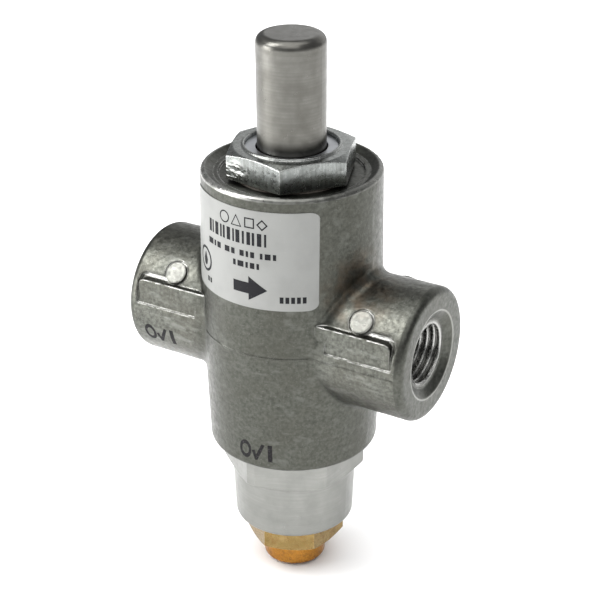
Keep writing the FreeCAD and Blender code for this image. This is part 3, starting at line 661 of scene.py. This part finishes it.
def coil_spring(name, node, turns, wire, material):
    """A coil with closed ends, built in place of a hidden CAD spring and filling its height."""
    spring_low, spring_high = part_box(node)
    mean = (spring_high.x - spring_low.x) / 2 - wire
    steps_per_turn = 36
    sides = 12
    # the closed part of a turn at each end rises by little more than the wire's thickness
    closed = 0.75
    closed_rise = 2.05 * wire
    open_rise = spring_high.z - spring_low.z - 2 * wire - 2 * closed_rise
    work = bmesh.new()
    rings = []
    for i in range(int((turns + 2 * closed) * steps_per_turn) + 1):
        turn = i / steps_per_turn
        open_share = min(max((turn - closed) / turns, 0), 1)
        closed_share = min(turn, closed) / closed + max(turn - closed - turns, 0) / closed
        height = spring_low.z + wire + open_rise * open_share + closed_rise * closed_share
        angle = 2 * math.pi * turn
        outward = Vector((math.cos(angle), math.sin(angle), 0))
        centre = Vector((AXIS_X, 0, height)) + outward * mean
        rings.append(wire_ring(work, centre, outward, wire, sides))
    for first, second in zip(rings, rings[1:]):
        for k in range(sides):
            work.faces.new((first[k], first[(k + 1) % sides], second[(k + 1) % sides], second[k]))
    work.faces.new(rings[0])
    work.faces.new(rings[-1][::-1])
    bmesh.ops.recalc_face_normals(work, faces=work.faces[:])
    for face in work.faces:
        face.smooth = True
    piece = as_piece(name, work, material)
    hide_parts(node)
    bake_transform(piece)


def springs(material):
    """The button's return spring and the poppet's closing spring."""
    coil_spring("button_coil", "button_spring", 9.5, 0.42 * MM, material)
    coil_spring("poppet_coil", "poppet_spring", 3.5, 0.4 * MM, material)


def stage():
    """A pale floor under the valve, far wider than the view."""
    mesh = bpy.data.meshes.new("floor")
    half = 3.0
    height = FITTING_BOTTOM - 0.5 * MM
    corners = [(-half, -half, height), (half, -half, height), (half, half, height), (-half, half, height)]
    mesh.from_pydata(corners, [], [(0, 1, 2, 3)])
    floor = bpy.data.objects.new("floor", mesh)
    bpy.context.scene.collection.objects.link(floor)
    shader = Shader("pale_floor")
    colour = shader.mix(shader.spread(shader.noise(0.3, 2), 0.3, 0.7),
                        tone(0.93, 0.93, 0.93), tone(0.91, 0.91, 0.91))
    normal = shader.bump(shader.noise(0.01, 2), 0.02 * MM)
    mesh.materials.append(shader.finish(colour, 0.9, normal, metallic=0.0))


def soft_light(name, place, target, size, watts, mirrored=True):
    """A soft rectangular lamp. One that isn't mirrored lights matt surfaces only."""
    light = bpy.data.lights.new(name, "AREA")
    light.shape = "RECTANGLE"
    light.size, light.size_y = size
    light.energy = watts
    lamp = bpy.data.objects.new(name, light)
    lamp.location = place
    lamp.rotation_mode = "QUATERNION"
    lamp.rotation_quaternion = (Vector(place) - Vector(target)).to_track_quat("Z", "Y")
    lamp.visible_glossy = mirrored
    bpy.context.scene.collection.objects.link(lamp)


def lights():
    """Soft lights above, at the left, in front and behind, in a dim room."""
    middle = (AXIS_X, 0, 0)
    under_above = (AXIS_X + 0.1, 0.15, 0)
    under_ceiling = (AXIS_X, -0.1, 0)
    soft_light("above", (AXIS_X + 0.1, 0.15, 1.35), under_above, (1.8, 1.6), 30.0, mirrored=False)
    soft_light("ceiling", (AXIS_X, -0.1, 1.30), under_ceiling, (1.2, 1.2), 8.5)
    soft_light("key", (AXIS_X - 0.30, -0.27, 0.47), middle, (0.24, 0.34), 2.5)
    soft_light("low_left", (AXIS_X - 0.42, -0.34, 0.07), middle, (0.26, 0.24), 1.7)
    soft_light("front", (AXIS_X + 0.35, -0.62, 0.85), middle, (0.9, 0.6), 2.6)
    soft_light("behind", (AXIS_X, 1.15, 0.42), middle, (1.6, 0.8), 3.2)
    world = bpy.data.worlds.new("room")
    world.use_nodes = True
    background = world.node_tree.nodes["Background"]
    background.inputs["Color"].default_value = (0.97, 0.98, 1.0, 1.0)
    background.inputs["Strength"].default_value = 0.28
    bpy.context.scene.world = world
    bpy.context.scene.view_settings.view_transform = "Standard"


def camera():
    """The camera stands right of the front, above the valve, about 0.3 m away."""
    azimuth, elevation, roll = (math.radians(turn) for turn in (31.486, 26.42, -0.434))
    aim = Vector((AXIS_X, 0, 4.824 * MM))
    distance = 0.30403
    back = Vector((math.sin(azimuth) * math.cos(elevation),
                   -math.cos(azimuth) * math.cos(elevation),
                   math.sin(elevation)))
    lens = bpy.data.cameras.new("camera")
    lens.sensor_width = 36.0
    lens.lens = 95.94
    lens.shift_x = 0.0035
    lens.clip_start = 0.01
    view = bpy.data.objects.new("camera", lens)
    view.location = aim + back * distance
    view.rotation_mode = "QUATERNION"
    view.rotation_quaternion = back.to_track_quat("Z", "Y") @ Quaternion((0, 0, 1), roll)
    bpy.context.scene.collection.objects.link(view)
    bpy.context.scene.camera = view


wire_material = dress_nodes()
label_print()
ink_marks()
springs(wire_material)
stage()
lights()
camera()
